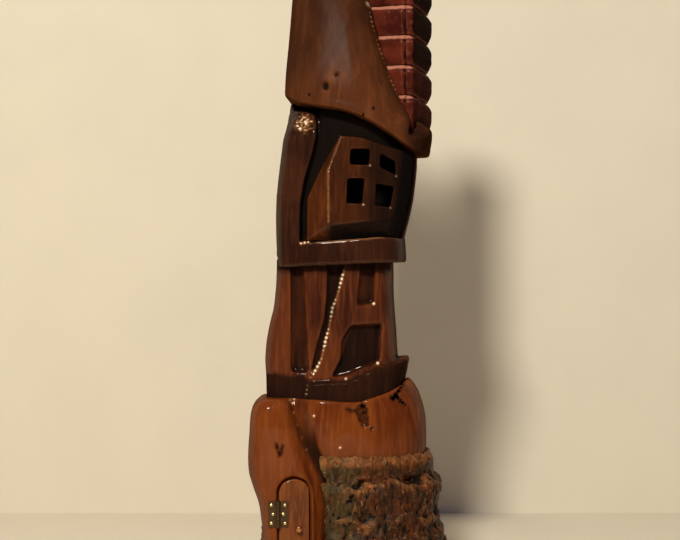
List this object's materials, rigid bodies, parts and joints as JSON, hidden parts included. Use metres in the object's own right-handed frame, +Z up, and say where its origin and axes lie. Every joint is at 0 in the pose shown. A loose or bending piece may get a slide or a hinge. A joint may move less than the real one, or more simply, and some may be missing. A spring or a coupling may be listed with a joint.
{
  "type": "carved wooden tower house",
  "caption": "Tall hand-carved wooden tower house: a bark-skirted stump with a small hinged door, timbered storeys, a leaning roof and a brick chimney.",
  "frame": {"origin": "centre of the bounding box in plan, on the plane the stump stands on", "axes": "+Z up along the tower's height, -Y towards the front with the door, +X to the viewer's right with the chimney"},
  "size_m": [0.0904, 0.08, 0.309],
  "materials": {
    "log_wood": "varnished, glossy",
    "bark": "rough bark, lightly sealed",
    "dark_wood": "dark stain, glossy varnish",
    "window_wood": "varnished, glossy",
    "roof_wood": "varnished, glossy",
    "brick": "carved bricks, red stain, varnished",
    "door_wood": "varnished",
    "dowel_wood": "bare",
    "dark_bronze": "antiqued dark",
    "nail_brass": "bright"
  },
  "bodies": {
    "house": {"stump_base": "log_wood", "bark_skirt": "bark", "lower_storey": "dark_wood", "upper_storey": "dark_wood", "window_panel": "window_wood", "roof": "roof_wood", "chimney_course_1": "brick", "chimney_course_2": "brick", "chimney_course_3": "brick", "chimney_course_4": "brick", "chimney_course_5": "brick", "chimney_course_6": "brick", "chimney_cap": "brick", "chimney_dowel": "dowel_wood", "stump_dowel": "dowel_wood", "storey_dowel": "dowel_wood", "roof_dowel": "dowel_wood", "hinge_upper_frame_leaf": "dark_bronze", "hinge_upper_pin": "dark_bronze", "hinge_lower_frame_leaf": "dark_bronze", "hinge_lower_pin": "dark_bronze", "frame_nails": "nail_brass"},
    "door": {"door": "door_wood", "door_knob": "nail_brass", "hinge_upper_door_leaf": "dark_bronze", "hinge_lower_door_leaf": "dark_bronze", "door_nails": "nail_brass"}
  },
  "joints": [
    {"name": "door_hinge", "type": "hinge", "parent": "house", "child": "door", "pos_m": [-0.0306, -0.03545, 0.0275], "axis": [0, 0, -1], "range_deg": [0, 160]}
  ]
}
